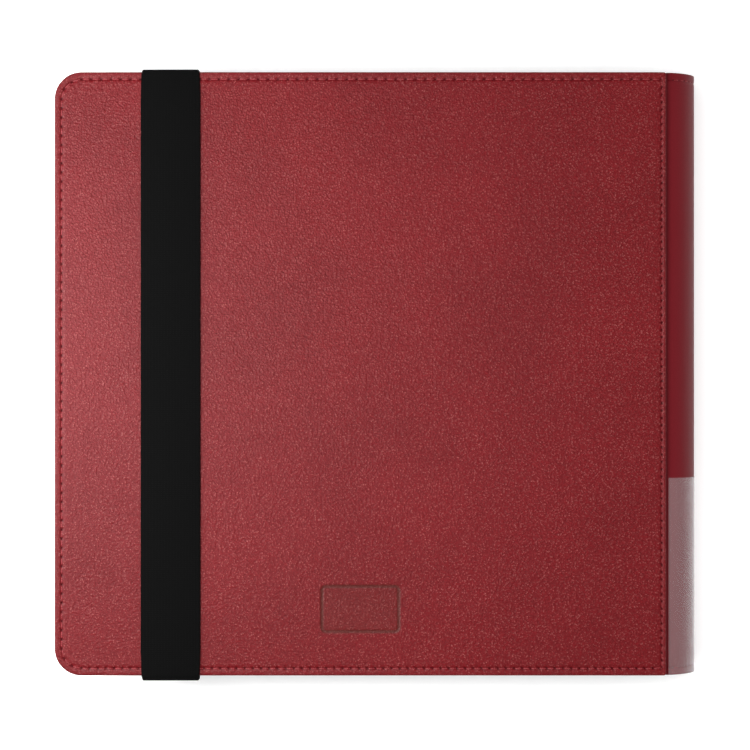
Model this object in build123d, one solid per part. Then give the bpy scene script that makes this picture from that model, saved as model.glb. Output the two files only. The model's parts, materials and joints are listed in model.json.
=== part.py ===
from build123d import *
from math import sqrt
import os

# A side-loading trading card binder, lying closed on its front cover with its back cover up.
# Its elastic strap is parked across the back cover. Millimetres. X runs from the fore edge
# to the spine, Y up the page and Z through the closed binder. The origin is under the middle
# of its box, on the surface that it lies on.

os.makedirs("parts", exist_ok=True)

# Covers: a wrapped tray of leatherette, a board in it and a lining over the board
cover_width = 328.3
cover_height = 324.0
closed_thickness = 50.0
fore_corner_radius = 14.5
wrap_skin = 0.8
wrap_rim = 0.8
board_thickness = 2.6
lining_thickness = 0.6
tray_clearance = 0.1

# Row of stitches round each cover and across both ends of the spine
stitch_inset = 3.9
stitch_inset_at_spine = 2.2
stitch_corner_radius = 0.8
thread_width = 0.8
thread_height = 0.25
groove_depth = 0.3
groove_clearance = 0.1

# Blank pressed panel low on the back cover
panel_width = 43.0
panel_height = 26.0
panel_corner_radius = 3.0
panel_depth = 0.2
panel_above_bottom = 35.8

# Rounded spine: three concentric layers, and the creases that it folds at
spine_bulge = 18.0
spine_crease = 0.6
spine_wrap_thickness = 1.0
spine_stiffener_thickness = 0.8
spine_lining_thickness = 0.5
front_fold_below_face = 0.4
fold_clearance = 0.3
lay_flat_clearance = 0.1

# Clear label pocket welded round the lower part of the spine
pocket_height = 106.0
pocket_film = 0.3
pocket_stand = 0.3
pocket_clear_of_fold = 4.2
pocket_side_weld = 2.5
pocket_bottom_weld = 3.0

# Channel that carries the pages inside the spine, and the strips over the inner creases
channel_inset = 5.0
channel_wall = 1.2
channel_clearance = 0.5
channel_flange_drop = 2.8
channel_seat_gap = 0.05
channel_end_inset = 6.0
strip_width = 15.0
strip_thickness = 0.3
strip_end_inset = 6.0

# Pages: a core sheet with a film of pockets welded to each face
page_count = 24
page_root_gap = 0.3
page_core = 0.25
page_film = 0.12
pocket_columns = 4
pocket_rows = 3
pocket_pitch_x = 72.0
pocket_pitch_y = 100.0
root_margin = 22.0
fore_margin = 3.0
film_end_margin = 3.0
core_end_margin = 1.0
mouth_width = 1.2
mouth_length = 92.0
mouth_inset = 2.0

# Elastic strap and where its ends are sewn in
strap_width = 32.0
strap_thickness = 1.1
strap_gap = 0.1
strap_from_fore_edge = 62.4
strap_leg_drop = 1.8
strap_tuck = 18.0
strap_slot_clearance = 0.2

# Worked out from the above
cover_thickness = wrap_skin + board_thickness + lining_thickness
strap_stand = strap_gap + strap_thickness
box_width = cover_width + spine_bulge + pocket_stand + pocket_film
x_fore = -box_width / 2
x_spine_edge = x_fore + cover_width
y_edge = cover_height / 2
z_front_inside = cover_thickness
z_back_inside = closed_thickness - cover_thickness
z_front_fold = z_front_inside - front_fold_below_face
z_back_fold = closed_thickness + strap_stand - z_front_fold + lay_flat_clearance
x_strap = x_fore + strap_from_fore_edge

# The spine's outer face is one arc between its two creases.
spine_half_chord = (z_back_fold - z_front_fold) / 2 - fold_clearance
spine_reach = spine_bulge - spine_crease
spine_radius = (spine_half_chord**2 + spine_reach**2) / (2 * spine_reach)
x_spine_centre = x_spine_edge + spine_bulge - spine_radius
z_spine_centre = (z_front_fold + z_back_fold) / 2
lining_inner_radius = spine_radius - spine_wrap_thickness - spine_stiffener_thickness - spine_lining_thickness

x_channel = x_spine_edge - channel_inset
x_page_root = x_channel - page_root_gap
page_pitch = (z_back_inside - z_front_inside) / page_count
film_width = pocket_columns * pocket_pitch_x + fore_margin
film_height = pocket_rows * pocket_pitch_y + 2 * film_end_margin
page_width = root_margin + film_width
page_height = film_height + 2 * core_end_margin


def block(x0, x1, y0, y1, z0, z1):
    """A box between two corners."""
    centre = Pos((x0 + x1) / 2, (y0 + y1) / 2, (z0 + z1) / 2)
    return centre * Box(x1 - x0, y1 - y0, z1 - z0)


def cover_plate(inset, inset_at_spine, corner_radius, z0, z1, spine_corner_radius=0.0):
    """A cover's outline drawn in by an inset, with the fore corners rounded."""
    x0 = x_fore + inset
    x1 = x_spine_edge - inset_at_spine
    plate = block(x0, x1, inset - y_edge, y_edge - inset, z0, z1)
    uprights = plate.edges().filter_by(Axis.Z).sort_by(Axis.X)
    fore_uprights = uprights[:2]
    if spine_corner_radius > 0:
        plate = fillet(uprights[2:], spine_corner_radius)
        fore_uprights = plate.edges().filter_by(Axis.Z).filter_by(GeomType.LINE).sort_by(Axis.X)[:2]
    return fillet(fore_uprights, corner_radius)


def stitch_ring(width, z0, z1):
    """The path of the stitches round a cover, as a band of a given width."""
    half = width / 2
    outer = cover_plate(
        stitch_inset - half,
        stitch_inset_at_spine - half,
        fore_corner_radius - stitch_inset + half,
        z0,
        z1,
        stitch_corner_radius + half,
    )
    inner = cover_plate(
        stitch_inset + half,
        stitch_inset_at_spine + half,
        fore_corner_radius - stitch_inset - half,
        z0,
        z1,
        stitch_corner_radius - half,
    )
    return outer - inner


def front_cover():
    """The four layers of a cover, outer face down at Z = 0."""
    rim_radius = fore_corner_radius - wrap_rim
    wrap = cover_plate(0, 0, fore_corner_radius, 0, cover_thickness)
    wrap -= cover_plate(wrap_rim, wrap_rim, rim_radius, wrap_skin, cover_thickness)
    wrap -= stitch_ring(thread_width + 2 * groove_clearance, 0, groove_depth)
    fit = wrap_rim + tray_clearance
    fit_radius = fore_corner_radius - fit
    z_board_top = wrap_skin + board_thickness
    board = cover_plate(fit, fit, fit_radius, wrap_skin, z_board_top)
    lining = cover_plate(fit, fit, fit_radius, z_board_top, cover_thickness)
    stitching = stitch_ring(thread_width, groove_depth - thread_height, groove_depth)
    return {"wrap": wrap, "board": board, "lining": lining, "stitching": stitching}


def back_cover():
    """A mirror image of the front cover, with the strap's slots and the blank pressed panel."""
    middle = Plane(origin=(0, 0, closed_thickness / 2), z_dir=(0, 0, 1))
    layers = {name: mirror(layer, about=middle) for name, layer in front_cover().items()}
    z_seat = closed_thickness - wrap_skin - board_thickness
    x0 = x_strap - strap_width / 2 - strap_slot_clearance
    x1 = x_strap + strap_width / 2 + strap_slot_clearance
    z1 = z_seat + strap_thickness + tray_clearance
    for side in (-1, 1):
        ends = sorted((side * (y_edge - strap_tuck - strap_slot_clearance), side * (y_edge + 1)))
        tuck = block(x0, x1, ends[0], ends[1], z_seat, z1)
        layers["board"] -= tuck
        layers["wrap"] -= tuck
    panel = Pos(
        x_fore + cover_width / 2, panel_above_bottom - y_edge, closed_thickness - panel_depth / 2
    ) * Box(panel_width, panel_height, panel_depth)
    layers["wrap"] -= fillet(panel.edges().filter_by(Axis.Z), panel_corner_radius)
    return layers


def spine_shell(inner_radius, outer_radius, y0, y1, x_from):
    """Part of a tube round the spine's axis, from a given X out to its bulge."""
    centre = Pos(x_spine_centre, (y0 + y1) / 2, z_spine_centre) * Rot(90, 0, 0)
    tube = centre * (Cylinder(outer_radius, y1 - y0) - Cylinder(inner_radius, y1 - y0))
    x_past = x_spine_centre + outer_radius + 1
    z_past = outer_radius + 1
    keep = block(x_from, x_past, y0, y1, z_spine_centre - z_past, z_spine_centre + z_past)
    return tube & keep


def spine():
    """Leatherette, stiffener and lining of the spine, and its two rows of stitches."""
    x_from = x_spine_edge + spine_crease
    wrap_inside = spine_radius - spine_wrap_thickness
    stiffener_inside = wrap_inside - spine_stiffener_thickness
    wrap = spine_shell(wrap_inside, spine_radius, -y_edge, y_edge, x_from)
    rows = []
    for side in (-1, 1):
        y_row = side * (y_edge - stitch_inset)
        half_groove = thread_width / 2 + groove_clearance
        floor = spine_radius - groove_depth
        wrap -= spine_shell(floor, spine_radius + 1, y_row - half_groove, y_row + half_groove, x_from)
        rows.append(
            spine_shell(
                floor, floor + thread_height, y_row - thread_width / 2, y_row + thread_width / 2, x_from
            )
        )
    return {
        "spine_wrap": wrap,
        "spine_stiffener": spine_shell(stiffener_inside, wrap_inside, -y_edge, y_edge, x_from),
        "spine_lining": spine_shell(lining_inner_radius, stiffener_inside, -y_edge, y_edge, x_from),
        "spine_stitching": Compound(children=rows),
    }


def label_pocket():
    """Clear film round the spine, open at its top, welded down along both sides and its bottom."""
    x_from = x_spine_edge + pocket_clear_of_fold
    y0 = -y_edge
    y1 = pocket_height - y_edge
    outer = spine_radius + pocket_stand + pocket_film
    film = spine_shell(spine_radius + pocket_stand, outer, y0, y1, x_from)
    film += spine_shell(spine_radius, outer, y0, y0 + pocket_bottom_weld, x_from)
    reach = outer + 1
    welded = block(
        x_from, x_from + pocket_side_weld, y0, y1, z_spine_centre - reach, z_spine_centre + reach
    )
    film += spine_shell(spine_radius, outer, y0, y1, x_from) & welded
    return film


def binding_channel():
    """The channel that the page roots are welded to, its flanges glued to the spine's lining."""
    y1 = y_edge - channel_end_inset
    z0 = z_front_inside + channel_clearance
    z1 = z_back_inside - channel_clearance
    channel = block(x_channel, x_channel + channel_wall, -y1, y1, z0, z1)
    seat = lining_inner_radius - channel_seat_gap
    inside_lining = Pos(x_spine_centre, 0, z_spine_centre) * Rot(90, 0, 0) * Cylinder(seat, 2 * y1)
    flange_outer = lining_inner_radius - channel_flange_drop
    for side in (-1, 1):
        faces = sorted((side * flange_outer, side * (flange_outer - channel_wall)))
        flange = block(
            x_channel + channel_wall,
            x_spine_centre + lining_inner_radius,
            -y1,
            y1,
            z_spine_centre + faces[0],
            z_spine_centre + faces[1],
        )
        channel += flange & inside_lining
    return channel


def hinge_strip(z0):
    """The tape glued to a cover's lining beside its inner crease."""
    y1 = y_edge - strip_end_inset
    x1 = x_spine_edge - tray_clearance
    return block(x1 - strip_width, x1, -y1, y1, z0, z0 + strip_thickness)


def pocket_film_sheet(z0):
    """One face of pockets: a film with a slit at the spine side of each pocket, to load it by."""
    x1 = x_page_root - root_margin
    film = block(x1 - film_width, x1, -film_height / 2, film_height / 2, z0, z0 + page_film)
    for column in range(pocket_columns):
        x_mouth = x1 - column * pocket_pitch_x - mouth_inset
        for row in range(pocket_rows):
            y_mouth = (row - (pocket_rows - 1) / 2) * pocket_pitch_y
            film -= block(
                x_mouth - mouth_width,
                x_mouth,
                y_mouth - mouth_length / 2,
                y_mouth + mouth_length / 2,
                z0,
                z0 + page_film,
            )
    return film


def page():
    """A page at Z = 0: its core sheet, and a film of pockets on each face."""
    half = page_core / 2
    core = block(
        x_page_root - page_width, x_page_root, -page_height / 2, page_height / 2, -half, half
    )
    return [core, pocket_film_sheet(-half - page_film), pocket_film_sheet(half)]


def page_height_above_table(number):
    """The Z of a page's middle, counted from the front cover."""
    return z_front_inside + (number - 0.5) * page_pitch


def strap():
    """The moving run of the elastic: across the back cover and over its two edges."""
    x0 = x_strap - strap_width / 2
    x1 = x_strap + strap_width / 2
    y1 = y_edge + strap_stand
    z_leg = closed_thickness - strap_leg_drop
    band = block(x0, x1, -y1, y1, z_leg, closed_thickness + strap_stand)
    y_inside = y_edge + strap_gap
    return band - block(x0, x1, -y_inside, y_inside, z_leg, closed_thickness + strap_gap)


def strap_end(side):
    """An end of the elastic, sewn in between the board and the lining."""
    x0 = x_strap - strap_width / 2
    x1 = x_strap + strap_width / 2
    z0 = closed_thickness - wrap_skin - board_thickness
    z_leg = closed_thickness - strap_leg_drop
    tuck = sorted((side * (y_edge - strap_tuck), side * (y_edge + strap_stand)))
    leg = sorted((side * (y_edge + strap_gap), side * (y_edge + strap_stand)))
    end = block(x0, x1, tuck[0], tuck[1], z0, z0 + strap_thickness)
    return end + block(x0, x1, leg[0], leg[1], z0 + strap_thickness, z_leg)


nodes = {}
for layer_name, layer in front_cover().items():
    nodes[f"front_cover_{layer_name}"] = layer
for layer_name, layer in back_cover().items():
    nodes[f"back_cover_{layer_name}"] = layer
nodes.update(spine())
nodes["label_pocket"] = label_pocket()
nodes["binding_channel"] = binding_channel()
nodes["front_hinge_strip"] = hinge_strip(z_front_inside)
nodes["back_hinge_strip"] = hinge_strip(z_back_inside - strip_thickness)
nodes["strap"] = strap()
nodes["strap_end_top"] = strap_end(1)
nodes["strap_end_bottom"] = strap_end(-1)
page_sheets = page()
for number in range(1, page_count + 1):
    lift = Pos(0, 0, page_height_above_table(number))
    nodes[f"page_{number:02d}"] = Compound(children=[lift * sheet for sheet in page_sheets])

for node_name, shape in nodes.items():
    export_step(shape, f"parts/{node_name}.step")
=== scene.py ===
import bmesh
import bpy
import json
from math import acos, cos, hypot, pi, radians, sin
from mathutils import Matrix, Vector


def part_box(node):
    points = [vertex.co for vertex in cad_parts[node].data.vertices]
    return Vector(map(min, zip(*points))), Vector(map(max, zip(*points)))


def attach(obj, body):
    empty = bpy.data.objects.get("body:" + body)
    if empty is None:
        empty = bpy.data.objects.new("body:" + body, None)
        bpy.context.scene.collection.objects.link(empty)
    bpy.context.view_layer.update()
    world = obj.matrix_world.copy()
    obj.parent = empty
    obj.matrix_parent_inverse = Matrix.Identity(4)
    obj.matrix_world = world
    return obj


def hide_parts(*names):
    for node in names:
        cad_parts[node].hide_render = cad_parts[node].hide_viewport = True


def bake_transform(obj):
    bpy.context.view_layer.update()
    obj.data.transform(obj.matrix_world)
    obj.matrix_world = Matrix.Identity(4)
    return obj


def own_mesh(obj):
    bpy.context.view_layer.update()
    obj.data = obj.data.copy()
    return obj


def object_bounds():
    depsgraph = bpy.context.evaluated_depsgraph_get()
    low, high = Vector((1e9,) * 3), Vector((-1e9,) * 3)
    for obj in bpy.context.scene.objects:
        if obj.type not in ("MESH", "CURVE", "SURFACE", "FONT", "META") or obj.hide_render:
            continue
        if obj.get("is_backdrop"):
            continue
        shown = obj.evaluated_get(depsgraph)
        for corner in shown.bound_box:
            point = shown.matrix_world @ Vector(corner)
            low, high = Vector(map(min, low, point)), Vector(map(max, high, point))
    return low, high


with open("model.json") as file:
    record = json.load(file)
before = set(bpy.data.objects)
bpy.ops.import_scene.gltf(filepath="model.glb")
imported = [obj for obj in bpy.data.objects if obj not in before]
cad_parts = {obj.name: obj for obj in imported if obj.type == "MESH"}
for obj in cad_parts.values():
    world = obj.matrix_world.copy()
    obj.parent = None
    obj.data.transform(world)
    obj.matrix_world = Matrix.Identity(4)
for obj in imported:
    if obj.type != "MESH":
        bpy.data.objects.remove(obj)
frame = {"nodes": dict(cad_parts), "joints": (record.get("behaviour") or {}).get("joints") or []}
cad_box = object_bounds()


# Studio: a matt white floor that glows faintly, as a lit table does, a pale horizon under a dark
# ceiling, one soft box low on the left and a camera straight above. Two large diffusers fill the
# shadows and don't show in reflections.
mm = 0.001
back_low, back_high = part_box("back_cover_wrap")


def shade(code):
    """A linear colour from an sRGB hex code."""
    parts = [int(code[k : k + 2], 16) / 255 for k in (1, 3, 5)]
    return [c / 12.92 if c <= 0.04045 else ((c + 0.055) / 1.055) ** 2.4 for c in parts] + [1.0]


def add_node(material, kind, values={}, links={}, **settings):
    """One shader node, with its input values, its input links and its own settings."""
    made = material.node_tree.nodes.new(kind)
    for name, value in settings.items():
        setattr(made, name, value)
    for name, value in values.items():
        made.inputs[name].default_value = value
    for name, source in links.items():
        material.node_tree.links.new(source, made.inputs[name])
    return made


def new_material(name):
    """A material and its main shader."""
    made = bpy.data.materials.new(name)
    made.use_nodes = True
    return made, made.node_tree.nodes["Principled BSDF"]


camera_distance = 1.29
camera_shift = (-1.41 * mm, -0.63 * mm)
camera_data = bpy.data.cameras.new("camera")
camera_data.sensor_width = 36
camera_data.lens = 115.4
camera = bpy.data.objects.new("camera", camera_data)
camera.location = (*camera_shift, back_high.z + camera_distance)
bpy.context.scene.collection.objects.link(camera)
bpy.context.scene.camera = camera
bpy.context.scene.view_settings.view_transform = "Standard"

world = bpy.data.worlds.new("studio_air")
world.use_nodes = True
air = world.node_tree.nodes["Background"]
air.inputs["Color"].default_value = shade("#FFFFFF")
air_way = add_node(world, "ShaderNodeTexCoord").outputs["Generated"]
air_height = add_node(world, "ShaderNodeSeparateXYZ", {}, {"Vector": air_way})
air_glow = add_node(
    world,
    "ShaderNodeMapRange",
    {"From Min": 0.2, "From Max": 0.5, "To Min": 0.36, "To Max": 0.02},
    {"Value": air_height.outputs["Z"]},
)
world.node_tree.links.new(air_glow.outputs["Result"], air.inputs["Strength"])
bpy.context.scene.world = world

# Each lamp: where it stands, its size in metres, its power in watts and whether it reflects
lamps = {
    "soft_box": ((-0.40, 0.02, 0.36), (0.24, 0.8), 7.0, True),
    "overhead_diffuser": ((0.0, 0.0, 2.2), (2.2, 2.2), 52, False),
    "side_diffuser": ((1.4, 0.0, 1.0), (1.4, 1.4), 7, False),
}
for lamp_name, (place, size, watts, reflects) in lamps.items():
    light = bpy.data.lights.new(lamp_name, "AREA")
    light.shape = "RECTANGLE"
    light.size, light.size_y = size
    light.energy = watts
    lamp = bpy.data.objects.new(lamp_name, light)
    lamp.location = place
    lamp.rotation_euler = (-lamp.location).to_track_quat("-Z", "Y").to_euler()
    lamp.visible_glossy = reflects
    lamp.visible_camera = False
    bpy.context.scene.collection.objects.link(lamp)

floor_paint, floor_shader = new_material("matt_floor_paint")
floor_shader.inputs["Base Color"].default_value = shade("#FAFAFA")
floor_shader.inputs["Roughness"].default_value = 0.95
floor_shader.inputs["Specular IOR Level"].default_value = 0.1
floor_shader.inputs["Emission Color"].default_value = shade("#FFFFFF")
floor_shader.inputs["Emission Strength"].default_value = 0.2
floor_half = 12.0
# Just under the binder, so that the floor and the front cover's face don't coincide
floor_level = -0.05 * mm
floor_mesh = bpy.data.meshes.new("floor")
floor_corners = ((-1, -1), (1, -1), (1, 1), (-1, 1))
floor_points = [(x * floor_half, y * floor_half, floor_level) for x, y in floor_corners]
floor_mesh.from_pydata(floor_points, [], [(0, 1, 2, 3)])
floor_mesh.materials.append(floor_paint)
floor = bpy.data.objects.new("floor", floor_mesh)
bpy.context.scene.collection.objects.link(floor)
floor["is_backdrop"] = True


# Cover leatherette: polyurethane skin on cloth, embossed with a fine pebble grain and turned over
# the edges of the board. The pebbles glint where they face the light, and their tops carry a painted
# glint; a row of lockstitch pulls the skin down all round, with painted shade in the hole at each stitch.
leatherette, leather_shader = new_material("embossed_pu_leatherette")
# The real pebbles stand about 0.6 mm apart. They are drawn coarser, so that they show.
pebble_pitch = 1.15 * mm
speck_pitch = 0.8 * mm
cloud_pitch = 60 * mm
leather_place = add_node(leatherette, "ShaderNodeTexCoord").outputs["Object"]
pebbles = add_node(
    leatherette,
    "ShaderNodeTexVoronoi",
    {"Scale": 1 / pebble_pitch, "Randomness": 1.0},
    {"Vector": leather_place},
    feature="F1",
)
specks = add_node(
    leatherette,
    "ShaderNodeTexNoise",
    {"Scale": 1 / speck_pitch, "Detail": 1.0, "Roughness": 0.5},
    {"Vector": leather_place},
)
clouds = add_node(
    leatherette,
    "ShaderNodeTexNoise",
    {"Scale": 1 / cloud_pitch, "Detail": 2.0, "Roughness": 0.5},
    {"Vector": leather_place},
)
grain_colour = add_node(leatherette, "ShaderNodeValToRGB", {}, {"Fac": specks.outputs["Fac"]})
grain_ramp = grain_colour.color_ramp
grain_ramp.elements[0].position, grain_ramp.elements[0].color = 0.30, shade("#51080D")
grain_ramp.elements[1].position, grain_ramp.elements[1].color = 0.70, shade("#5F0B11")
# Each pebble's top is painted paler than its sides, some more than others: a painted glint.
glint_at_pebble_top = add_node(
    leatherette,
    "ShaderNodeMapRange",
    {"From Min": 0.14, "From Max": 0.46, "To Min": 1.0, "To Max": 0.0},
    {"Value": pebbles.outputs["Distance"]},
    interpolation_type="SMOOTHSTEP",
)
glint_share = add_node(
    leatherette,
    "ShaderNodeMapRange",
    {"From Min": 0.38, "From Max": 0.64, "To Min": 0.1, "To Max": 1.0},
    {"Value": specks.outputs["Fac"]},
)
painted_glint = add_node(
    leatherette,
    "ShaderNodeMath",
    {},
    {0: glint_at_pebble_top.outputs["Result"], 1: glint_share.outputs["Result"]},
    operation="MULTIPLY",
)
grain_and_glint_tone = add_node(
    leatherette,
    "ShaderNodeMixRGB",
    {"Color2": shade("#753B39")},
    {"Fac": painted_glint.outputs["Value"], "Color1": grain_colour.outputs["Color"]},
)
cloud_tone = add_node(
    leatherette,
    "ShaderNodeMapRange",
    {"From Min": 0.35, "From Max": 0.65, "To Min": 0.94, "To Max": 1.06},
    {"Value": clouds.outputs["Fac"]},
)
clouded = add_node(
    leatherette,
    "ShaderNodeVectorMath",
    {},
    {0: grain_and_glint_tone.outputs["Color"], 1: cloud_tone.outputs["Result"]},
    operation="MULTIPLY",
)
# The shade mark is 1 at a stitch hole and fades to 0 round it: painted shade in and beside each hole.
painted_shade = add_node(leatherette, "ShaderNodeAttribute", attribute_name="painted_shade")
hole_shaded_tone = add_node(
    leatherette,
    "ShaderNodeMixRGB",
    {"Color2": shade("#40070C")},
    {"Fac": painted_shade.outputs["Fac"], "Color1": clouded.outputs["Vector"]},
)
# The pressed mark is 1 in the border of the panel, where the hot die has browned the skin.
pressed = add_node(leatherette, "ShaderNodeAttribute", attribute_name="pressed")
browned = add_node(
    leatherette,
    "ShaderNodeMath",
    {1: 0.7},
    {0: pressed.outputs["Fac"]},
    operation="MULTIPLY",
)
finished_tone = add_node(
    leatherette,
    "ShaderNodeMixRGB",
    {"Color2": shade("#3C1D17")},
    {"Fac": browned.outputs["Value"], "Color1": hole_shaded_tone.outputs["Color"]},
)
leather_height = add_node(
    leatherette,
    "ShaderNodeMath",
    {},
    {0: specks.outputs["Fac"], 1: pebbles.outputs["Distance"]},
    operation="SUBTRACT",
)
leather_relief = add_node(
    leatherette,
    "ShaderNodeBump",
    {"Strength": 0.6, "Distance": 0.3 * mm},
    {"Height": leather_height.outputs["Value"]},
)
leather_gloss = add_node(
    leatherette,
    "ShaderNodeMapRange",
    {"From Min": 0.3, "From Max": 0.7, "To Min": 0.56, "To Max": 0.42},
    {"Value": specks.outputs["Fac"]},
)
wires = leatherette.node_tree.links
wires.new(finished_tone.outputs["Color"], leather_shader.inputs["Base Color"])
wires.new(leather_gloss.outputs["Result"], leather_shader.inputs["Roughness"])
wires.new(leather_relief.outputs["Normal"], leather_shader.inputs["Normal"])
leather_shader.inputs["Specular IOR Level"].default_value = 0.22

x_fore, x_spine_edge, y_edge = back_low.x, back_high.x, back_high.y
# Where the row of stitches runs, and how long a stitch is on each side
row_inset = 3.9 * mm
row_inset_at_spine = 2.2 * mm
fore_corner_radius = 14.5 * mm
spine_corner_radius = 1.2 * mm
least_corner = 0.5 * mm
stitch_length = {"top": 5.3 * mm, "fore": 4.9 * mm, "bottom": 4.4 * mm, "spine": 3.95 * mm}
stitches_round_corner = 3
plain_corner_stations = (0.0, 0.33, 0.67)
# Shares of a stitch that have a point of their own, and how far into a hole each of them is
stitch_stations = (0.0, 0.12, 0.2, 0.5, 0.8, 0.88)
hole_marks = {0.0: 1.0, 0.12: 0.9, 0.88: 0.9}


def cover_runs(inset):
    """The straight runs and corner arcs of a cover's outline, drawn in by an inset, anticlockwise."""
    # The row runs closer to the edge at the spine, so insets outside the row shrink in proportion there.
    share = row_inset_at_spine / row_inset
    at_spine = inset * share if inset < row_inset else inset - row_inset + row_inset_at_spine
    left, right, top = x_fore + inset, x_spine_edge - at_spine, y_edge - inset
    wide = fore_corner_radius - inset
    tight = max(spine_corner_radius - inset, least_corner)
    return {
        "spine_top": ("arc", (right - tight, top - tight), tight, 0),
        "top": ("line", (right - tight, top), (left + wide, top)),
        "fore_top": ("arc", (left + wide, top - wide), wide, 90),
        "fore": ("line", (left, top - wide), (left, wide - top)),
        "fore_bottom": ("arc", (left + wide, wide - top), wide, 180),
        "bottom": ("line", (left + wide, -top), (right - tight, -top)),
        "spine_bottom": ("arc", (right - tight, tight - top), tight, 270),
        "spine": ("line", (right, tight - top), (right, top - tight)),
    }


def along_run(run, share):
    """A point some share of the way along a run."""
    if run[0] == "line":
        return tuple(a + (b - a) * share for a, b in zip(run[1], run[2]))
    centre, radius, start = run[1:]
    angle = radians(start + 90 * share)
    return centre[0] + radius * cos(angle), centre[1] + radius * sin(angle)


# Every place round the outline that a ring has a point at: its run, its share and how far it is in a
# stitch hole, from 0 to 1 at the middle
cover_stations = []
for run_name, run in cover_runs(row_inset).items():
    if run_name.startswith("spine_"):
        cover_stations += [(run_name, share, 0.0) for share in plain_corner_stations]
        continue
    if run[0] == "arc":
        count = stitches_round_corner
    else:
        length = hypot(run[2][0] - run[1][0], run[2][1] - run[1][1])
        count = round(length / stitch_length[run_name])
    for stitch in range(count):
        for step in stitch_stations:
            cover_stations.append((run_name, (stitch + step) / count, hole_marks.get(step, 0.0)))


def skin(rings, cap_first=True, cap_last=True):
    """Points and faces of a skin over rings with equal numbers of points."""
    count = len(rings[0])
    points = [point for ring in rings for point in ring]
    faces = []
    for start in range(0, (len(rings) - 1) * count, count):
        for k in range(count):
            after = (k + 1) % count
            faces.append((start + k, start + after, start + count + after, start + count + k))
    if cap_first:
        faces.append(tuple(range(count)))
    if cap_last:
        faces.append(tuple(range(len(points) - count, len(points))))
    return points, faces


def mesh_piece(name, parts, material, crease_degrees=50, join_rims=False):
    """One object from lists of points and faces, turned outwards. join_rims fills between open rims."""
    points, faces = [], []
    for part_points, part_faces in parts:
        start = len(points)
        points += part_points
        faces += [tuple(k + start for k in face) for face in part_faces]
    mesh = bpy.data.meshes.new(name)
    mesh.from_pydata(points, [], faces)
    tidy = bmesh.new()
    tidy.from_mesh(mesh)
    if join_rims:
        rims = [edge for edge in tidy.edges if edge.is_boundary]
        bmesh.ops.triangle_fill(tidy, use_beauty=True, edges=rims)
    bmesh.ops.recalc_face_normals(tidy, faces=tidy.faces)
    tidy.to_mesh(mesh)
    tidy.free()
    mesh.shade_smooth()
    mesh.set_sharp_from_angle(angle=radians(crease_degrees))
    mesh.materials.append(material)
    piece = bpy.data.objects.new(name, mesh)
    bpy.context.scene.collection.objects.link(piece)
    return piece


front_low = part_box("front_cover_wrap")[0]
# A cover's section from its flat face out over the row of stitches, round the turned edge and
# down into the tray that holds the board: how far in from the edge, and how deep
cover_thickness = back_high.z - back_low.z
outer_roll = 1.0 * mm
inner_roll = 0.8 * mm
tray_rim = 0.86 * mm
tray_floor = 0.76 * mm
row_depth = 0.45 * mm
hole_depth = 0.72 * mm
row_shoulder = 0.2 * mm
shoulder_shade = 0.8
face_section = [(7.0 * mm, 0.0), (6.0 * mm, 0.0), (4.9 * mm, 0.05 * mm), (4.35 * mm, row_shoulder)]
face_section += [(row_inset, row_depth), (3.45 * mm, row_shoulder), (2.9 * mm, 0.05 * mm), (1.8 * mm, 0.0)]
for angle in range(0, 91, 15):
    lean = radians(angle)
    face_section.append((outer_roll * (1 - sin(lean)), outer_roll * (1 - cos(lean))))
for angle in range(0, 91, 30):
    lean = radians(angle)
    face_section.append((inner_roll * (1 - cos(lean)), cover_thickness - inner_roll * (1 - sin(lean))))
face_section += [(tray_rim, cover_thickness), (tray_rim, tray_floor)]

# The blank panel pressed into the back cover: its border lies deepest, and its field less deep
panel_size = (43 * mm, 26 * mm)
panel_above_bottom = 35.8 * mm
panel_corner = 3.0 * mm
least_panel_corner = 0.6 * mm
panel_press = 0.3 * mm
field_press = 0.4 * panel_press
panel_border = 1.5 * mm
panel_slope = 0.4 * mm
# How far in from the panel's edge, and how deep; then how browned
panel_section = [(-0.6 * mm, 0.0), (0.0, 0.0), (panel_slope, panel_press), (panel_border, panel_press)]
panel_section += [(panel_border + panel_slope, field_press), (panel_border + 0.9 * mm, field_press)]
panel_marks = (0.0, 0.5, 1.0, 1.0, 0.4, 0.3)


def rounded_rectangle(centre, width, height, corner, z, steps=6):
    """The points of a rounded rectangle, anticlockwise."""
    points = []
    for turn, (side_x, side_y) in enumerate(((1, 1), (-1, 1), (-1, -1), (1, -1))):
        for step in range(steps + 1):
            angle = radians(90 * turn + 90 * step / steps)
            x = centre[0] + side_x * (width / 2 - corner) + corner * cos(angle)
            y = centre[1] + side_y * (height / 2 - corner) + corner * sin(angle)
            points.append((x, y, z))
    return points


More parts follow.
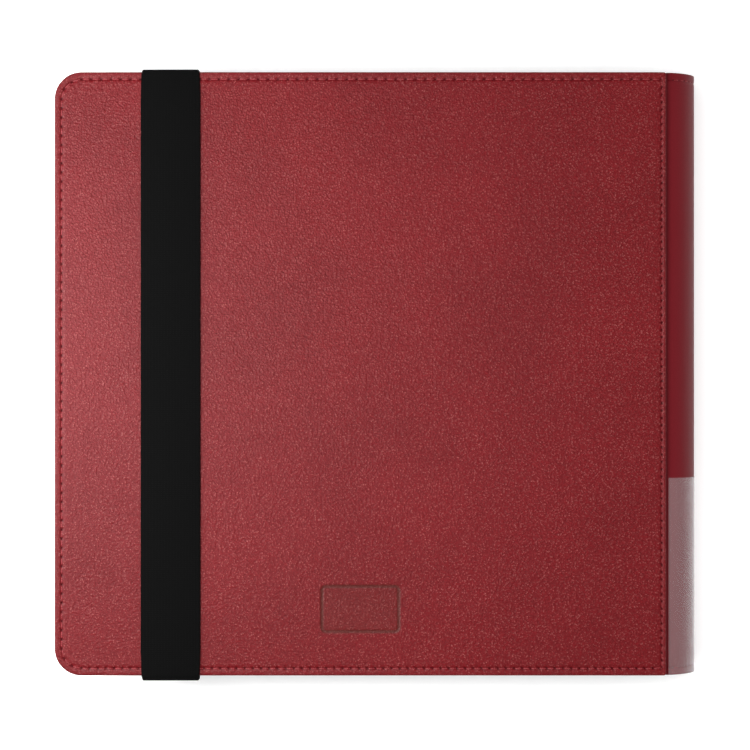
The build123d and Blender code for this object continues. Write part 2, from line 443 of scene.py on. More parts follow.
def cover_wrap(name, z_face, inwards, pressed_panel):
    """The leatherette of one cover. inwards is the way from its outer face to its board."""
    rings = []
    for inset, depth in face_section:
        runs = cover_runs(inset)
        ring = []
        for run_name, share, hole in cover_stations:
            x, y = along_run(runs[run_name], share)
            sunk = depth
            if hole and depth == row_depth:
                sunk = hole_depth
            if hole and depth == row_shoulder:
                sunk = row_depth
            ring.append((x, y, z_face + inwards * sunk))
        rings.append(ring)
    parts = [skin(rings, cap_first=not pressed_panel)]
    count = len(rings[0])
    if pressed_panel:
        centre = ((x_fore + x_spine_edge) / 2, panel_above_bottom - y_edge)
        panel_rings = []
        for inset, depth in panel_section:
            width, height = panel_size[0] - 2 * inset, panel_size[1] - 2 * inset
            corner = max(panel_corner - inset, least_panel_corner)
            panel_rings.append(rounded_rectangle(centre, width, height, corner, z_face + inwards * depth))
        parts.append(skin(panel_rings, cap_first=False))
    piece = mesh_piece(name + "_leatherette", parts, leatherette, join_rims=pressed_panel)
    # Painted shade: full in each stitch hole, a little less on the row beside it.
    shade_marks = piece.data.attributes.new("painted_shade", "FLOAT", "POINT")
    row = face_section.index((row_inset, row_depth))
    for k, (run_name, share, hole) in enumerate(cover_stations):
        for across, mark in ((-1, shoulder_shade), (0, 1.0), (1, shoulder_shade)):
            shade_marks.data[(row + across) * count + k].value = hole * mark
    if pressed_panel:
        burnish = piece.data.attributes.new("pressed", "FLOAT", "POINT")
        corner_points = len(panel_rings[0])
        for ring, mark in enumerate(panel_marks):
            for k in range(corner_points):
                burnish.data[len(rings) * count + ring * corner_points + k].value = mark
    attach(piece, name)
    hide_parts(name + "_wrap")


cover_wrap("back_cover", back_high.z, -1, pressed_panel=True)
cover_wrap("front_cover", front_low.z, 1, pressed_panel=False)


# Cover stitching: polyester lockstitch thread, dyed to match, each stitch sunk into the holes at
# its two ends and standing a little proud of the pulled-down row between them. The bonding gives
# it a faint gloss, broken by its plies, which are drawn coarser than they are.
thread_cover, thread_shader = new_material("bonded_polyester_thread")
thread_shader.inputs["Roughness"].default_value = 0.55
thread_shader.inputs["Specular IOR Level"].default_value = 0.3
ply_pitch = 0.5 * mm
thread_place = add_node(thread_cover, "ShaderNodeTexCoord").outputs["Object"]
plies = add_node(
    thread_cover,
    "ShaderNodeTexWave",
    {"Scale": pi / (10 * ply_pitch), "Distortion": 1.0},
    {"Vector": thread_place},
    bands_direction="DIAGONAL",
)
thread_tone = add_node(thread_cover, "ShaderNodeValToRGB", {}, {"Fac": plies.outputs["Fac"]})
thread_tone.color_ramp.elements[0].color = shade("#5C161B")
thread_tone.color_ramp.elements[1].color = shade("#8A363A")
thread_bump = add_node(
    thread_cover,
    "ShaderNodeBump",
    {"Strength": 0.5, "Distance": 0.1 * mm},
    {"Height": plies.outputs["Fac"]},
)
wires = thread_cover.node_tree.links
wires.new(thread_tone.outputs["Color"], thread_shader.inputs["Base Color"])
wires.new(thread_bump.outputs["Normal"], thread_shader.inputs["Normal"])

thread_radius = 0.34 * mm
thread_sides = 6
# Along a stitch: how far, how thick beside the middle, and how deep its middle lies
stitch_form = [(0.10, 0.6, 0.90 * mm), (0.21, 0.9, 0.52 * mm), (0.34, 1.0, 0.39 * mm)]
stitch_form += [(0.5, 1.0, 0.37 * mm), (0.66, 1.0, 0.39 * mm), (0.79, 0.9, 0.52 * mm), (0.90, 0.6, 0.90 * mm)]


def stitch(start, end, down, across):
    """One stitch between two holes, as points and faces. down points into the leatherette."""
    rings = []
    for share, thick, depth in stitch_form:
        middle = [a + (b - a) * share + d * depth for a, b, d in zip(start, end, down)]
        ring = []
        for side in range(thread_sides):
            angle = 2 * pi * side / thread_sides
            reach = thread_radius * thick
            offsets = [reach * (cos(angle) * a + sin(angle) * d) for a, d in zip(across, down)]
            ring.append(tuple(m + o for m, o in zip(middle, offsets)))
        rings.append(ring)
    return skin(rings)


def cover_stitching(name, z_face, inwards):
    """The row of stitches round one cover."""
    runs = cover_runs(row_inset)
    holes = [along_run(runs[run], share) for run, share, hole in cover_stations if hole == 1.0]
    parts = []
    for (xa, ya), (xb, yb) in zip(holes, holes[1:] + holes[:1]):
        length = hypot(xb - xa, yb - ya)
        across = ((yb - ya) / length, (xa - xb) / length, 0)
        parts.append(stitch((xa, ya, z_face), (xb, yb, z_face), (0, 0, inwards), across))
    piece = mesh_piece(name + "_stitches", parts, thread_cover)
    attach(piece, name)
    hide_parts(name + "_stitching")


cover_stitching("back_cover", back_high.z, -1)
cover_stitching("front_cover", front_low.z, 1)


# Cover linings and boards: black plain-weave polyester glued over bare greyboard. The cloth is
# dull, with a faint grid of yarns drawn at twice their pitch, and the board is chalky and mottled.
lining_cloth, lining_shader = new_material("plain_weave_polyester_lining")
lining_shader.inputs["Roughness"].default_value = 0.85
lining_shader.inputs["Specular IOR Level"].default_value = 0.15
yarn_pitch = 0.8 * mm
lining_place = add_node(lining_cloth, "ShaderNodeTexCoord").outputs["Object"]
weft = add_node(
    lining_cloth,
    "ShaderNodeTexWave",
    {"Scale": pi / (10 * yarn_pitch), "Distortion": 0.4},
    {"Vector": lining_place},
    bands_direction="X",
)
warp = add_node(
    lining_cloth,
    "ShaderNodeTexWave",
    {"Scale": pi / (10 * yarn_pitch), "Distortion": 0.4},
    {"Vector": lining_place},
    bands_direction="Y",
)
weave = add_node(
    lining_cloth,
    "ShaderNodeMath",
    {},
    {0: weft.outputs["Fac"], 1: warp.outputs["Fac"]},
    operation="MULTIPLY",
)
lining_tone = add_node(lining_cloth, "ShaderNodeValToRGB", {}, {"Fac": weave.outputs["Value"]})
lining_tone.color_ramp.elements[0].color = shade("#111113")
lining_tone.color_ramp.elements[1].color = shade("#2A2A2D")
lining_bump = add_node(
    lining_cloth,
    "ShaderNodeBump",
    {"Strength": 0.5, "Distance": 0.1 * mm},
    {"Height": weave.outputs["Value"]},
)
wires = lining_cloth.node_tree.links
wires.new(lining_tone.outputs["Color"], lining_shader.inputs["Base Color"])
wires.new(lining_bump.outputs["Normal"], lining_shader.inputs["Normal"])

greyboard, board_shader = new_material("pressed_greyboard")
board_shader.inputs["Roughness"].default_value = 0.9
pulp_pitch = 1.5 * mm
board_place = add_node(greyboard, "ShaderNodeTexCoord").outputs["Object"]
pulp = add_node(
    greyboard,
    "ShaderNodeTexNoise",
    {"Scale": 1 / pulp_pitch, "Detail": 4.0},
    {"Vector": board_place},
)
board_tone = add_node(greyboard, "ShaderNodeValToRGB", {}, {"Fac": pulp.outputs["Fac"]})
board_tone.color_ramp.elements[0].color = shade("#8E8A84")
board_tone.color_ramp.elements[1].color = shade("#B5B0A8")
greyboard.node_tree.links.new(board_tone.outputs["Color"], board_shader.inputs["Base Color"])

for cover in ("front_cover", "back_cover"):
    for layer, material in (("lining", lining_cloth), ("board", greyboard)):
        node = frame["nodes"][f"{cover}_{layer}"]
        node.data.materials.clear()
        node.data.materials.append(material)


# Strap: one band of black woven elastic. Each end is sewn into the edge of the back cover, turns
# over the edge and runs across the cover. It is dull and nearly black, with fine ribs across it
# and cords along it.
elastic, elastic_shader = new_material("woven_rubber_cored_elastic")
elastic_shader.inputs["Roughness"].default_value = 0.95
elastic_shader.inputs["Specular IOR Level"].default_value = 0.02
rib_pitch = 1.1 * mm
cord_pitch = 1.6 * mm
elastic_place = add_node(elastic, "ShaderNodeTexCoord").outputs["Object"]
ribs = add_node(
    elastic,
    "ShaderNodeTexWave",
    {"Scale": pi / (10 * rib_pitch), "Distortion": 0.6},
    {"Vector": elastic_place},
    bands_direction="Y",
)
cords = add_node(
    elastic,
    "ShaderNodeTexWave",
    {"Scale": pi / (10 * cord_pitch), "Distortion": 0.3},
    {"Vector": elastic_place},
    bands_direction="X",
)
elastic_weave = add_node(
    elastic,
    "ShaderNodeMath",
    {},
    {0: ribs.outputs["Fac"], 1: cords.outputs["Fac"]},
    operation="MULTIPLY",
)
elastic_tone = add_node(elastic, "ShaderNodeValToRGB", {}, {"Fac": elastic_weave.outputs["Value"]})
elastic_tone.color_ramp.elements[0].color = shade("#080808")
elastic_tone.color_ramp.elements[1].color = shade("#0E0E0E")
elastic_bump = add_node(
    elastic,
    "ShaderNodeBump",
    {"Strength": 0.35, "Distance": 0.12 * mm},
    {"Height": elastic_weave.outputs["Value"]},
)
wires = elastic.node_tree.links
wires.new(elastic_tone.outputs["Color"], elastic_shader.inputs["Base Color"])
wires.new(elastic_bump.outputs["Normal"], elastic_shader.inputs["Normal"])

strap_low, strap_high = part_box("strap")
x_strap = (strap_low.x + strap_high.x) / 2
strap_half = (strap_high.x - strap_low.x) / 2
band_gap = 0.1 * mm
band_thickness = strap_high.z - back_high.z - band_gap
band_stand = band_gap + band_thickness / 2
z_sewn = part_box("strap_end_top")[0].z + band_thickness / 2
sewn_in = 0.8 * mm
tuck_bend = 0.75 * mm
run_step = 6 * mm
edge_softness = 0.45 * mm
waist_at_edge = 0.975
waist_length = 12 * mm
round_at_bend = 0.6 * mm
edge_points = 4
slack_at_top, slack_at_bottom = 0.2 * mm, 1.5 * mm


def strap_route(slack):
    """The middle of the band from its sewn end to the middle of the cover: (y, z, way up)."""
    route = [(y_edge - sewn_in, z_sewn, 270)]
    y_bend = y_edge + band_stand + slack - tuck_bend
    for angle in range(270, 361, 30):
        lean = radians(angle)
        route.append((y_bend + tuck_bend * cos(lean), z_sewn + tuck_bend + tuck_bend * sin(lean), angle))
    over = outer_roll + band_stand
    for angle in range(0, 91, 15):
        lean = radians(angle)
        y = y_edge - outer_roll + (over + slack) * cos(lean)
        route.append((y, back_high.z - outer_roll + over * sin(lean), angle))
    y_top = y_edge - outer_roll
    steps = round(y_top / run_step)
    route += [(y_top * (1 - k / steps), back_high.z + band_stand, 90) for k in range(1, steps + 1)]
    return route


def strap_half_band(name, side, slack, ends):
    """Half of the strap, from one sewn end to the middle. slack is how far it stands off the edge."""
    rings = []
    for y, z, angle in strap_route(slack):
        out = (cos(radians(angle)), sin(radians(angle)))
        near_edge = max(0.0, 1 - max(0.0, y_edge - y) / waist_length)
        half = strap_half * (1 - (1 - waist_at_edge) * near_edge)
        half -= round_at_bend * max(0.0, cos(radians(angle))) ** 2
        ring = []
        for turn, (across, up) in enumerate(((1, 1), (-1, 1), (-1, -1), (1, -1))):
            for step in range(edge_points):
                bend = radians(90 * turn + 90 * step / (edge_points - 1))
                x = across * (half - edge_softness) + edge_softness * cos(bend)
                n = up * (band_thickness / 2 - edge_softness) + edge_softness * sin(bend)
                ring.append((x_strap + x, side * (y + n * out[0]), z + n * out[1]))
        rings.append(ring)
    piece = mesh_piece(name, [skin(rings)], elastic)
    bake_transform(piece)
    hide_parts(*ends)


strap_half_band("strap_top", 1, slack_at_top, ("strap", "strap_end_top"))
strap_half_band("strap_bottom", -1, slack_at_bottom, ("strap", "strap_end_bottom"))


# Spine: smooth leatherette over a bowed plastic stiffener and a black lining, in three concentric
# layers. A row of stitches crosses each end. Its skin is even, with a soft sheen along the bow and
# a faint crepe, drawn coarser than it is.
spine_leather, spine_shader = new_material("smooth_pu_leatherette")
spine_shader.inputs["Specular IOR Level"].default_value = 0.12
spine_place = add_node(spine_leather, "ShaderNodeTexCoord").outputs["Object"]
crepe_pitch = 0.7 * mm
crepe = add_node(
    spine_leather,
    "ShaderNodeTexNoise",
    {"Scale": 1 / crepe_pitch, "Detail": 2.0},
    {"Vector": spine_place},
)
spine_tone = add_node(spine_leather, "ShaderNodeValToRGB", {}, {"Fac": crepe.outputs["Fac"]})
spine_tone.color_ramp.elements[0].color = shade("#5B1118")
spine_tone.color_ramp.elements[1].color = shade("#66151C")
# Painted shade from the mark: darker in each stitch hole and beside each crease.
spine_painted_shade = add_node(spine_leather, "ShaderNodeAttribute", attribute_name="painted_shade")
spine_shaded_tone = add_node(
    spine_leather,
    "ShaderNodeMixRGB",
    {"Color2": shade("#40070C")},
    {"Fac": spine_painted_shade.outputs["Fac"], "Color1": spine_tone.outputs["Color"]},
)
spine_gloss = add_node(
    spine_leather,
    "ShaderNodeMapRange",
    {"From Min": 0.3, "From Max": 0.7, "To Min": 0.56, "To Max": 0.48},
    {"Value": crepe.outputs["Fac"]},
)
spine_bump = add_node(
    spine_leather,
    "ShaderNodeBump",
    {"Strength": 0.25, "Distance": 0.05 * mm},
    {"Height": crepe.outputs["Fac"]},
)
wires = spine_leather.node_tree.links
wires.new(spine_shaded_tone.outputs["Color"], spine_shader.inputs["Base Color"])
wires.new(spine_gloss.outputs["Result"], spine_shader.inputs["Roughness"])
wires.new(spine_bump.outputs["Normal"], spine_shader.inputs["Normal"])

# Frosted polypropylene has a broad, soft sheen. The frosting is drawn coarser than it is.
black_sheet, sheet_shader = new_material("black_polypropylene_sheet")
sheet_shader.inputs["Specular IOR Level"].default_value = 0.3
frost_pitch = 0.9 * mm
sheet_place = add_node(black_sheet, "ShaderNodeTexCoord").outputs["Object"]
frost = add_node(
    black_sheet,
    "ShaderNodeTexNoise",
    {"Scale": 1 / frost_pitch, "Detail": 3.0},
    {"Vector": sheet_place},
)
sheet_tone = add_node(black_sheet, "ShaderNodeValToRGB", {}, {"Fac": frost.outputs["Fac"]})
sheet_tone.color_ramp.elements[0].color = shade("#141416")
sheet_tone.color_ramp.elements[1].color = shade("#222225")
sheet_gloss = add_node(
    black_sheet,
    "ShaderNodeMapRange",
    {"From Min": 0.3, "From Max": 0.7, "To Min": 0.5, "To Max": 0.62},
    {"Value": frost.outputs["Fac"]},
)
sheet_bump = add_node(
    black_sheet,
    "ShaderNodeBump",
    {"Strength": 0.3, "Distance": 0.05 * mm},
    {"Height": frost.outputs["Fac"]},
)
wires = black_sheet.node_tree.links
wires.new(sheet_tone.outputs["Color"], sheet_shader.inputs["Base Color"])
wires.new(sheet_gloss.outputs["Result"], sheet_shader.inputs["Roughness"])
wires.new(sheet_bump.outputs["Normal"], sheet_shader.inputs["Normal"])

wrap_low, wrap_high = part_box("spine_wrap")
half_chord = (wrap_high.z - wrap_low.z) / 2
bow = wrap_high.x - wrap_low.x
spine_radius = (half_chord**2 + bow**2) / (2 * bow)
x_bow, z_bow = wrap_high.x - spine_radius, (wrap_high.z + wrap_low.z) / 2
bow_half_angle = acos((wrap_low.x - x_bow) / spine_radius)
layer_thickness = {"spine_wrap": 1.0 * mm, "spine_stiffener": 0.8 * mm, "spine_lining": 0.5 * mm}
spine_keep = 0.15
y_spine_row = y_edge - row_inset
spine_stitches = round(2 * bow_half_angle * spine_radius / stitch_length["spine"])
spine_stations = []
for number in range(spine_stitches):
    for step in stitch_stations:
        spine_stations.append(((number + step) / spine_stitches, hole_marks.get(step, 0.0)))
# The row stops short of both creases.
row_stop = 0.025
spine_stations = [station for station in spine_stations if row_stop < station[0] < 1 - row_stop]
end_stations = [(share, 0.0) for share in (0.0, 0.01, 0.02)]
spine_stations = end_stations + spine_stations + [(1 - share, 0.0) for share, _ in reversed(end_stations)]
# Beside a crease the wrap dips under the cover's edge, and less light reaches it; the wrap is also painted
# darker there, as painted shade.
crease_dip = 0.8 * mm
crease_dip_width = 2.8 * mm
crease_shade = 0.6
crease_shade_width = 3.2 * mm
end_roll = 0.35 * mm
# Half of the wrap's section, from its middle to its end: how far along the spine, and how deep
wrap_section = [(y_spine_row - 2.0 * mm, 0.0), (y_spine_row - 0.9 * mm, 0.04 * mm)]
wrap_section += [(y_spine_row - 0.45 * mm, row_shoulder), (y_spine_row, row_depth)]
wrap_section += [(y_spine_row + 0.45 * mm, row_shoulder), (y_spine_row + 0.9 * mm, 0.04 * mm)]
wrap_section += [(y_edge - end_roll, 0.0), (y_edge - end_roll / 4, end_roll / 4), (y_edge, end_roll)]


def near_crease(share, width):
    """1 where the wrap meets a crease, fading to 0 at a width from it. share is its way round."""
    from_crease = min(share, 1 - share) * 2 * bow_half_angle * spine_radius
    return max(0.0, 1 - from_crease / width)


def on_bow(radius, share):
    """A point on the spine's arc, some share of the way from its front end to its back end."""
    angle = bow_half_angle * (2 * share - 1)
    return x_bow + radius * cos(angle), z_bow + radius * sin(angle)


def spine_layer(name, outer, thickness, section, material):
    """One layer of the spine, a bowed sheet. section is half of its outer face, as (y, depth)."""
    rings = []
    for share, hole in spine_stations:
        ring = []
        for y, depth in [(-y, depth) for y, depth in reversed(section)] + section:
            sunk = hole_depth if hole and depth == row_depth else depth
            if section is wrap_section:
                sunk += crease_dip * near_crease(share, crease_dip_width) ** 2
            x, z = on_bow(outer - sunk, share)
            ring.append((x, y, z))
        for y in (y_edge, -y_edge):
            x, z = on_bow(outer - thickness, share)
            ring.append((x, y, z))
        rings.append(ring)
    piece = mesh_piece(name, [skin(rings)], material)
    shade_marks = piece.data.attributes.new("painted_shade", "FLOAT", "POINT")
    size = len(rings[0])
    # Painted shade: darker towards each crease, and full in each stitch hole.
    for k, (share, hole) in enumerate(spine_stations):
        for place, (y, depth) in enumerate([*reversed(section), *section]):
            shade_marks.data[k * size + place].value = crease_shade * near_crease(share, crease_shade_width)
            if hole and depth == row_depth:
                shade_marks.data[k * size + place].value = hole
    return piece


def spine_piece(piece, slot, *nodes):
    """Ties a piece to the spine, hides the parts it stands for and gives it a mesh of its own."""
    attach(piece, "spine")
    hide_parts(*nodes)
    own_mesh(piece)


layer_outer = spine_radius
for layer, material, slot_name in (
    ("spine_wrap", spine_leather, "spine_leatherette"),
    ("spine_stiffener", black_sheet, "stiffener"),
    ("spine_lining", lining_cloth, "lining_cloth"),
):
    thickness = layer_thickness[layer]
    half_section = wrap_section if layer == "spine_wrap" else [(y_edge / 2, 0.0), (y_edge - end_roll, 0.0)]
    layer_piece = spine_layer("shaped_" + layer, layer_outer, thickness, half_section, material)
    spine_piece(layer_piece, slot_name, layer)
    layer_outer -= thickness

spine_thread = []
for side in (-1, 1):
    holes = [share for share, hole in spine_stations if hole == 1.0]
    for start, end in zip(holes, holes[1:]):
        (xa, za), (xb, zb) = on_bow(spine_radius, start), on_bow(spine_radius, end)
        angle = bow_half_angle * (start + end - 1)
        down = (-cos(angle), 0, -sin(angle))
        y = side * y_spine_row
        spine_thread.append(stitch((xa, y, za), (xb, y, zb), down, (0, 1, 0)))
spine_piece(mesh_piece("spine_row_stitches", spine_thread, thread_cover), "thread", "spine_stitching")


# Creases: the binder folds at two strips of leatherette, sewn in under the edge of each cover and
# of the spine. They lie low between the edges, dull and wrinkled, and are coloured darker than the
# spine as painted shade, so they show as a dark groove.
crease_leather, crease_shader = new_material("creased_pu_leatherette")
crease_shader.inputs["Roughness"].default_value = 0.6
crease_shader.inputs["Specular IOR Level"].default_value = 0.25
wrinkle_pitch = 1.2 * mm
crease_place = add_node(crease_leather, "ShaderNodeTexCoord").outputs["Object"]
wrinkles = add_node(
    crease_leather,
    "ShaderNodeTexNoise",
    {"Scale": 1 / wrinkle_pitch, "Detail": 3.0},
    {"Vector": crease_place},
)
# A darker copy of the spine's leatherette: painted shade for the groove.
crease_shaded_tone = add_node(crease_leather, "ShaderNodeValToRGB", {}, {"Fac": wrinkles.outputs["Fac"]})
crease_shaded_tone.color_ramp.elements[0].color = shade("#490B10")
crease_shaded_tone.color_ramp.elements[1].color = shade("#5E1319")
crease_bump = add_node(
    crease_leather,
    "ShaderNodeBump",
    {"Strength": 0.4, "Distance": 0.1 * mm},
    {"Height": wrinkles.outputs["Fac"]},
)
wires = crease_leather.node_tree.links
wires.new(crease_shaded_tone.outputs["Color"], crease_shader.inputs["Base Color"])
wires.new(crease_bump.outputs["Normal"], crease_shader.inputs["Normal"])

folds = {joint["name"]: joint["pos_m"] for joint in frame["joints"] if "pos_m" in joint}
crease_thickness = 0.7 * mm
# The middle of each strip, in millimetres from its fold: across, up
front_crease = [(-0.6, -0.4), (-0.2, -0.25), (0.1, 0.05), (0.35, 0.5), (0.6, 0.75), (0.9, 0.8)]
back_crease = [(-0.6, -0.4), (-0.2, -0.5), (0.1, -0.65), (0.35, -0.75), (0.6, -0.8), (0.9, -0.8)]


def strip_at_fold(name, fold, offsets, thickness, y_end, material):
    """A strip from end to end of the binder, whose middle follows offsets from a fold."""
    route = [(folds[fold][0] + x * mm, folds[fold][2] + z * mm) for x, z in offsets]
    rings = []
    for k, (x, z) in enumerate(route):
        (xa, za), (xb, zb) = route[max(k - 1, 0)], route[min(k + 1, len(route) - 1)]
        half = thickness / 2 / hypot(xb - xa, zb - za)
        dx, dz = (za - zb) * half, (xb - xa) * half
        top = [(x + dx, -y_end, z + dz), (x + dx, y_end, z + dz)]
        rings.append(top + [(x - dx, y_end, z - dz), (x - dx, -y_end, z - dz)])
    return mesh_piece(name, [skin(rings)], material)


def bend_at_fold(piece, fold, cover, offsets, bend_points):
    """Bakes a strip's place into its mesh, after finding two of its points by the fold."""
    x, _, z = folds[fold]
    ends = [(x + offsets[k][0] * mm, 0, z + offsets[k][1] * mm) for k in bend_points]
    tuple(ends[0])
    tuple(ends[1])
    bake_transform(piece)


def crease(name, fold, cover, offsets):
    """One crease strip, laid between its cover and the spine."""
    piece = strip_at_fold(name, fold, offsets, crease_thickness, y_edge - end_roll, crease_leather)
    bend_at_fold(piece, fold, cover, offsets, (1, 4))


crease("front_crease", "spine_fold", "front_cover", front_crease)
crease("back_crease", "back_cover_open", "back_cover", back_crease)


# Label pocket: a sheet of clear PVC film, cut square and laid round the lower part of the spine. Its
# sides are heat-welded, the row of stitches holds its bottom and its top is open. It is slightly
# hazy, and its white grows where it turns away: a painted reflection, like the one any thin film shows.
clear_film, film_shader = new_material("clear_pvc_film")
film_shader.inputs["Base Color"].default_value = shade("#F4F4F6")
film_shader.inputs["IOR"].default_value = 1.53
film_haze = 0.05
painted_edge_reflection = 0.45
film_sheen_pitch = 9 * mm
film_place = add_node(clear_film, "ShaderNodeTexCoord").outputs["Object"]
film_ripples = add_node(
    clear_film,
    "ShaderNodeTexNoise",
    {"Scale": 1 / film_sheen_pitch, "Detail": 1.0},
    {"Vector": film_place},
)
film_gloss = add_node(
    clear_film,
    "ShaderNodeMapRange",
    {"From Min": 0.3, "From Max": 0.7, "To Min": 0.16, "To Max": 0.26},
    {"Value": film_ripples.outputs["Fac"]},
)
film_bump = add_node(
    clear_film,
    "ShaderNodeBump",
    {"Strength": 0.25, "Distance": 0.4 * mm},
    {"Height": film_ripples.outputs["Fac"]},
)
# Where the film turns away, more of its white covers the spine: a painted reflection over its real haze.
film_tilt = add_node(clear_film, "ShaderNodeLayerWeight", {"Blend": 0.5})
film_edge = add_node(
    clear_film,
    "ShaderNodeMath",
    {1: 3.0},
    {0: film_tilt.outputs["Facing"]},
    operation="POWER",
)
film_haze_and_reflection = add_node(
    clear_film,
    "ShaderNodeMath",
    {1: painted_edge_reflection, 2: film_haze},
    {0: film_edge.outputs["Value"]},
    operation="MULTIPLY_ADD",
)
wires = clear_film.node_tree.links
wires.new(film_gloss.outputs["Result"], film_shader.inputs["Roughness"])
wires.new(film_bump.outputs["Normal"], film_shader.inputs["Normal"])
wires.new(film_haze_and_reflection.outputs["Value"], film_shader.inputs["Alpha"])

film_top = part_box("label_pocket")[1].y
film_thickness = 0.15 * mm
film_stand = 0.12 * mm
film_seat = 0.04 * mm
film_from_fold = 1.0 * mm
weld_width = 1.6 * mm
weld_rise = 1.8 * mm
film_half_angle = acos((wrap_low.x + film_from_fold - x_bow) / (spine_radius + film_seat))
film_steps = 40
# How far the film's lower end and its plain rows lie above the spine's bottom
film_bottom = 0.15 * mm
film_row_places = [row * mm for row in (7, 9, 12, 30, 55, 80, 95)]


def off_weld(distance):
    """How far the film has left the spine at a distance from its welded edge, from 0 to 1."""
    rise = min(max((distance - weld_width) / weld_rise, 0.0), 1.0)
    return rise * rise * (3 - 2 * rise)


# From the bottom up: how far along the spine, and how deep. The row of stitches pulls it down.
film_rows = [(film_bottom - y_edge, 0.0)] + [(-y, depth) for y, depth in reversed(wrap_section[:6])]
film_rows += [(place - y_edge, 0.0) for place in film_row_places] + [(film_top, 0.0)]
film_rings = []
for k in range(film_steps + 1):
    angle = film_half_angle * (2 * k / film_steps - 1)
    to_side = (film_half_angle - abs(angle)) * spine_radius
    outside, inside = [], []
    for y, depth in film_rows:
        risen = off_weld(to_side) * off_weld(y + y_edge - row_inset)
        radius = spine_radius + film_seat + film_stand * risen - depth
        inside.append((x_bow + radius * cos(angle), y, z_bow + radius * sin(angle)))
        radius += film_thickness
        outside.append((x_bow + radius * cos(angle), y, z_bow + radius * sin(angle)))
    film_rings.append(outside + inside[::-1])
spine_piece(mesh_piece("spine_label_film", [skin(film_rings)], clear_film), "clear_film", "label_pocket")


# Binding channel: black polypropylene, extruded as a channel and glued into the spine. The roots
# of all the pages are welded to its web.
channel_low, channel_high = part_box("binding_channel")
web_wall = 1.2 * mm
flange_places = (15.8 * mm, 17.0 * mm)
glue_line = 0.05 * mm
lining_inside = layer_outer - glue_line
eased_edge = 0.25 * mm
channel_rows = 12


def flange_tip(rise):
    """Where a flange that stands some way off the spine's middle meets the lining."""
    return x_bow + (lining_inside**2 - rise**2) ** 0.5


def eased(corners, ease):
    """An outline with each corner cut off by a small flat."""
    points = []
    for k, (x, z) in enumerate(corners):
        for xn, zn in (corners[k - 1], corners[(k + 1) % len(corners)]):
            share = ease / hypot(xn - x, zn - z)
            points.append((x + (xn - x) * share, z + (zn - z) * share))
    return points


inner, outer = flange_places
web_back = channel_low.x + web_wall
channel_outline = [
    (channel_low.x, channel_low.z),
    (web_back, channel_low.z),
    (web_back, z_bow - outer),
    (flange_tip(outer), z_bow - outer),
    (flange_tip(inner), z_bow - inner),
    (web_back, z_bow - inner),
    (web_back, z_bow + inner),
    (flange_tip(inner), z_bow + inner),
    (flange_tip(outer), z_bow + outer),
    (web_back, z_bow + outer),
    (web_back, channel_high.z),
    (channel_low.x, channel_high.z),
]
channel_rings = []
for row in range(channel_rows + 1):
    y = channel_low.y + (channel_high.y - channel_low.y) * row / channel_rows
    channel_rings.append([(x, y, z) for x, z in eased(channel_outline, eased_edge)])
channel_piece = mesh_piece("page_channel", [skin(channel_rings)], black_sheet, crease_degrees=30)
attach(channel_piece, "spine")
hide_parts("binding_channel")
lining_reach = flange_tip(inner) - wrap_low.x
channel_keep = (wrap_low.x + spine_keep * lining_reach - channel_low.x) / (flange_tip(inner) - channel_low.x)
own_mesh(channel_piece)


# Hinge tapes: black cloth tape glued over each inner crease, from the cover's lining to the edge
# of the spine's.
tape_thickness = 0.3 * mm
tape_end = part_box("front_hinge_strip")[1].y
# The middle of each tape, in millimetres from its fold: across, up
front_tape = [(-15.1, 0.55), (-8.0, 0.55), (-3.0, 0.57), (-1.6, 0.75), (-0.8, 1.3), (-0.2, 2.0), (0.5, 2.75)]
front_tape += [(1.0, 3.0), (1.5, 3.1)]
back_tape = [(-15.1, -1.85), (-8.0, -1.85), (-3.0, -1.87), (-1.6, -1.95), (-0.8, -2.1), (-0.2, -2.35)]
back_tape += [(0.5, -2.75), (1.0, -3.0), (1.5, -3.1)]
for name, fold, cover, offsets in (
    ("front", "spine_fold", "front_cover", front_tape),
    ("back", "back_cover_open", "back_cover", back_tape),
):
    tape = strip_at_fold(name + "_hinge_tape", fold, offsets, tape_thickness, tape_end, lining_cloth)
    bend_at_fold(tape, fold, cover, offsets, (2, 7))
    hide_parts(name + "_hinge_strip")


# Pages: a black polypropylene core sheet, welded to the channel along its root, with twelve clear
# pockets welded to each face. A pocket is open on its side next to the spine, where cards go in,
# and its film lies close over the black sheet, with long, soft glints where it cockles.
pocket_film, pocket_shader = new_material("clear_film_over_black_sheet")
pocket_shader.inputs["IOR"].default_value = 1.49
pocket_place = add_node(pocket_film, "ShaderNodeTexCoord").outputs["Object"]
cockle_pitch = 14 * mm
cockles = add_node(
    pocket_film,
    "ShaderNodeTexNoise",
    {"Scale": 1 / cockle_pitch, "Detail": 2.0},
    {"Vector": pocket_place},
)
pocket_tone = add_node(pocket_film, "ShaderNodeValToRGB", {}, {"Fac": cockles.outputs["Fac"]})
pocket_tone.color_ramp.elements[0].color = shade("#29292E")
pocket_tone.color_ramp.elements[1].color = shade("#3B3B42")
pocket_gloss = add_node(
    pocket_film,
    "ShaderNodeMapRange",
    {"From Min": 0.3, "From Max": 0.7, "To Min": 0.22, "To Max": 0.34},
    {"Value": cockles.outputs["Fac"]},
)
pocket_bump = add_node(
    pocket_film,
    "ShaderNodeBump",
    {"Strength": 0.35, "Distance": 0.6 * mm},
    {"Height": cockles.outputs["Fac"]},
)
wires = pocket_film.node_tree.links
wires.new(pocket_tone.outputs["Color"], pocket_shader.inputs["Base Color"])
wires.new(pocket_gloss.outputs["Result"], pocket_shader.inputs["Roughness"])
wires.new(pocket_bump.outputs["Normal"], pocket_shader.inputs["Normal"])

page_nodes = sorted(name for name in frame["nodes"] if name.startswith("page_"))
page_low, page_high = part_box(page_nodes[0])
core_half = 0.125 * mm
pocket_pitch = (72 * mm, 100 * mm)
pocket_columns, pocket_rows = 4, 3
seam_half = 1.0 * mm
root_margin = 22 * mm
welded_film = 0.06 * mm
pocket_bulge = 0.17 * mm
mouth_lip = 0.10 * mm
panel_steps = (10, 12)


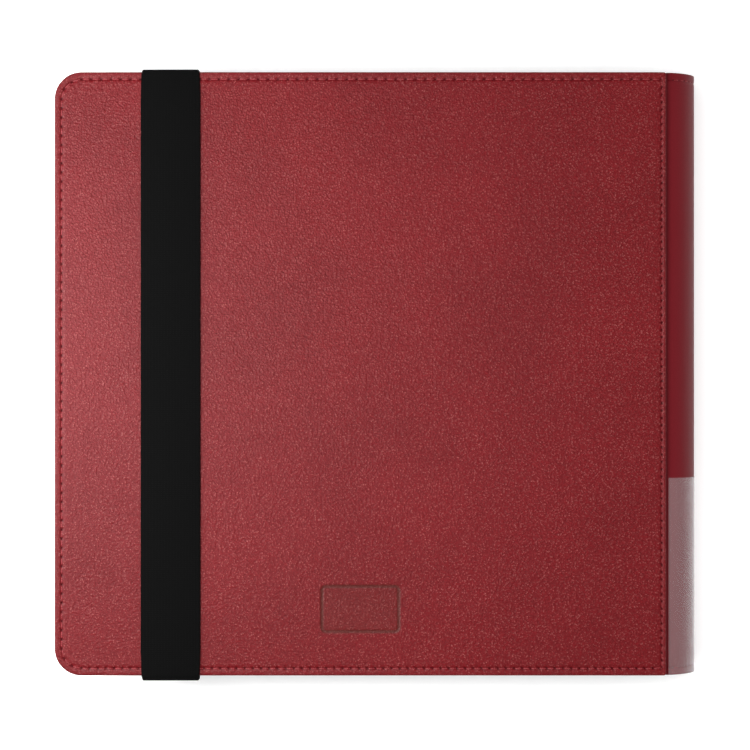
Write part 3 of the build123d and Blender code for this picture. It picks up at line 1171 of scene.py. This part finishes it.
def pocket_panel(x_mouth, y_middle, face_side):
    """One pocket's film, welded on three sides and a little open at its mouth."""
    across, up = panel_steps
    width, height = pocket_pitch[0] - 2 * seam_half, pocket_pitch[1] - 2 * seam_half
    top, places = [], []
    for i in range(across + 1):
        for j in range(up + 1):
            u, v = i / across, j / up
            crown = (1 - (2 * u - 1) ** 4) * (1 - (2 * v - 1) ** 4)
            lip = (1 - u) ** 4 * (1 - (2 * v - 1) ** 4)
            lift = core_half + welded_film + pocket_bulge * crown + mouth_lip * lip
            place = (x_mouth - seam_half - width * u, y_middle + height * (v - 0.5))
            places.append(place)
            top.append((*place, face_side * lift))
    faces = []
    for i in range(across):
        for j in range(up):
            a = i * (up + 1) + j
            faces.append((a, a + 1, a + up + 2, a + up + 1))
    rim = list(range(up)) + [i * (up + 1) + up for i in range(across)]
    rim += [across * (up + 1) + up - j for j in range(up)] + [(across - i) * (up + 1) for i in range(across)]
    start = len(top)
    top += [(*places[k], face_side * core_half) for k in rim]
    for k in range(len(rim)):
        after = (k + 1) % len(rim)
        faces.append((rim[k], rim[after], start + after, start + k))
    faces.append(tuple(range(start, len(top))))
    return top, faces


core_corner = 1.5 * mm
page_middle = ((page_low.x + page_high.x) / 2, 0)
core_size = (page_high.x - page_low.x, page_high.y - page_low.y)
core_rings = [rounded_rectangle(page_middle, *core_size, core_corner, z) for z in (-core_half, core_half)]
page_parts = [skin(core_rings)]
for column in range(pocket_columns):
    for row in range(pocket_rows):
        x_mouth = page_high.x - root_margin - column * pocket_pitch[0]
        y_middle = (row - (pocket_rows - 1) / 2) * pocket_pitch[1]
        page_parts += [pocket_panel(x_mouth, y_middle, face_side) for face_side in (-1, 1)]
first_page = mesh_piece("sleeve_page_01", page_parts, black_sheet, crease_degrees=30)
page_mesh = first_page.data
page_mesh.materials.append(pocket_film)
for polygon in page_mesh.polygons[len(page_parts[0][1]) :]:
    polygon.material_index = 1
for name in page_nodes:
    number = name[-2:]
    if number == "01":
        sleeve_page = first_page
    else:
        sleeve_page = bpy.data.objects.new("sleeve_page_" + number, page_mesh)
        bpy.context.scene.collection.objects.link(sleeve_page)
    low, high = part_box(name)
    sleeve_page.location = (0, 0, (low.z + high.z) / 2)
    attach(sleeve_page, name)
    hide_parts(name)


sizes = {"cad": cad_box, "visual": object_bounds()}
{name: [list(corner) for corner in box] for name, box in sizes.items()}
